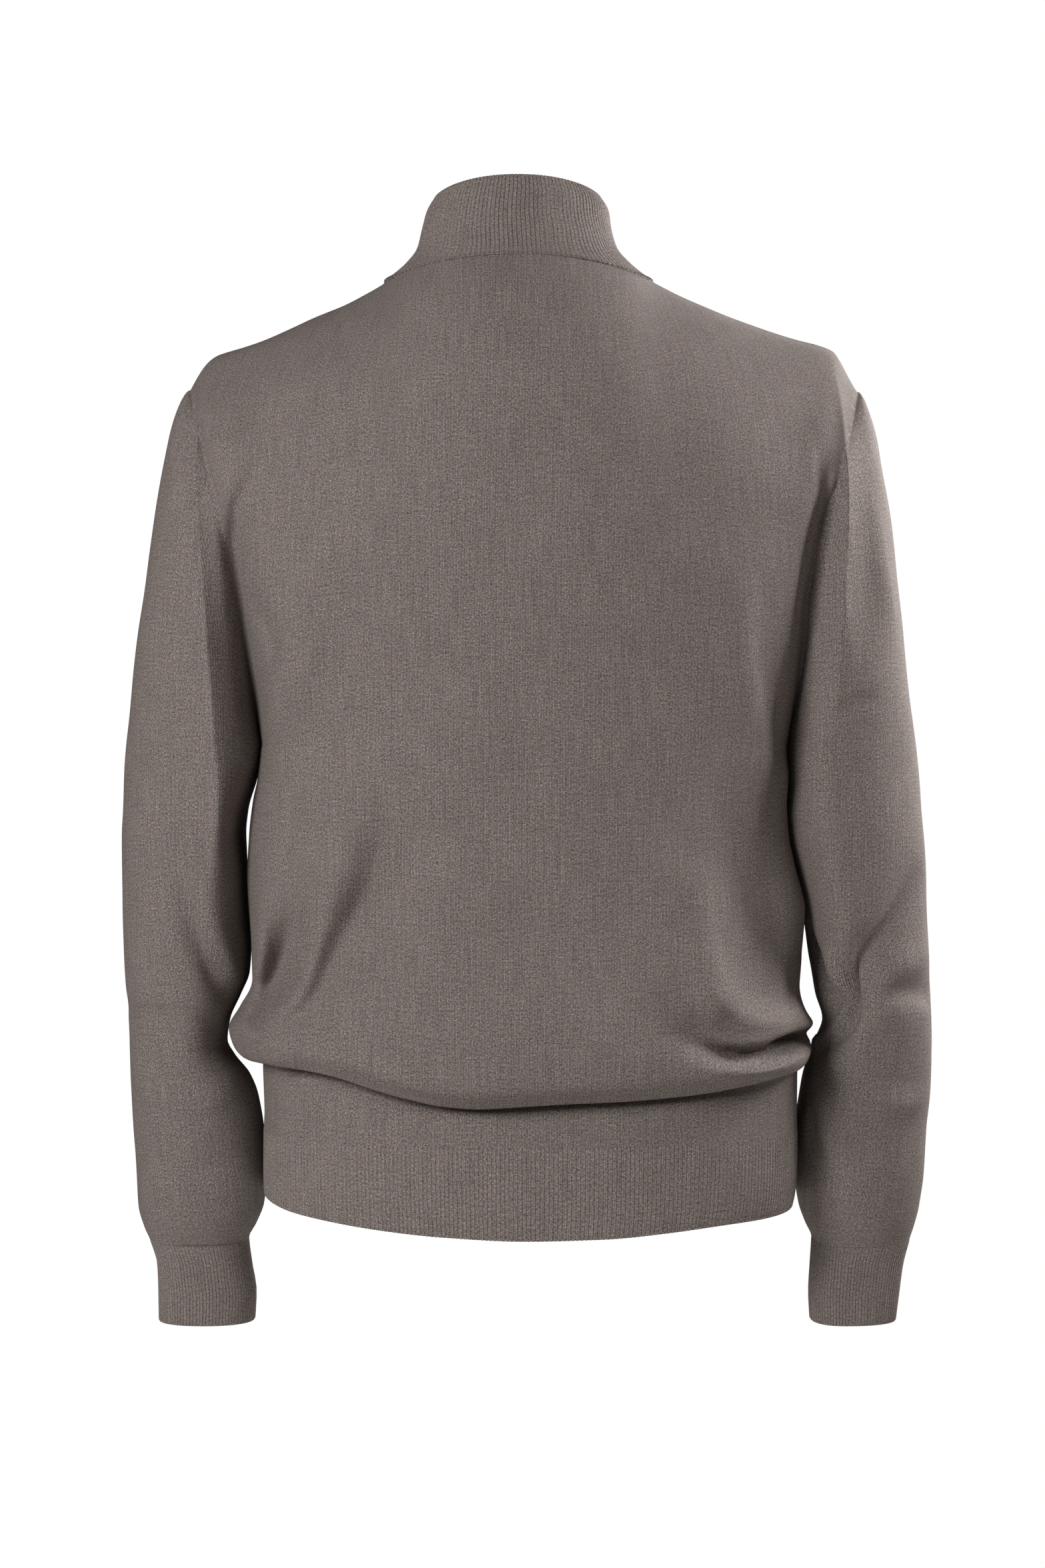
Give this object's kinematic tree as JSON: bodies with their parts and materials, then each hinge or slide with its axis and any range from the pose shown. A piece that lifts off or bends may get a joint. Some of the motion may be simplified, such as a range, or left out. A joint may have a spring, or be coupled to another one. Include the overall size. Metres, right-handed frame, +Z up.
{
  "type": "mock neck sweater",
  "caption": "Fine-gauge long-sleeved mock neck sweater in its hollow worn form, with a slack body over a ribbed hem, ribbed cuffs and a short ribbed stand collar",
  "frame": {"origin": "middle of the neck opening, at the height where the collar seam crosses the shoulder line", "axes": "+Z up, -Y out of the front, +X to the wearer's left"},
  "size_m": [0.5475, 0.291, 0.7651],
  "materials": {
    "merino_jersey": "matt single jersey in a heathered taupe wool, with a faint nap",
    "merino_rib": "matt 2x1 rib in the same taupe wool"
  },
  "bodies": {
    "root": {"back": "merino_jersey", "front": "merino_jersey", "sleeve_left": "merino_jersey", "sleeve_right": "merino_jersey", "collar": "merino_rib", "hem_back": "merino_rib", "hem_front": "merino_rib", "cuff_left": "merino_rib", "cuff_right": "merino_rib"}
  },
  "joints": []
}
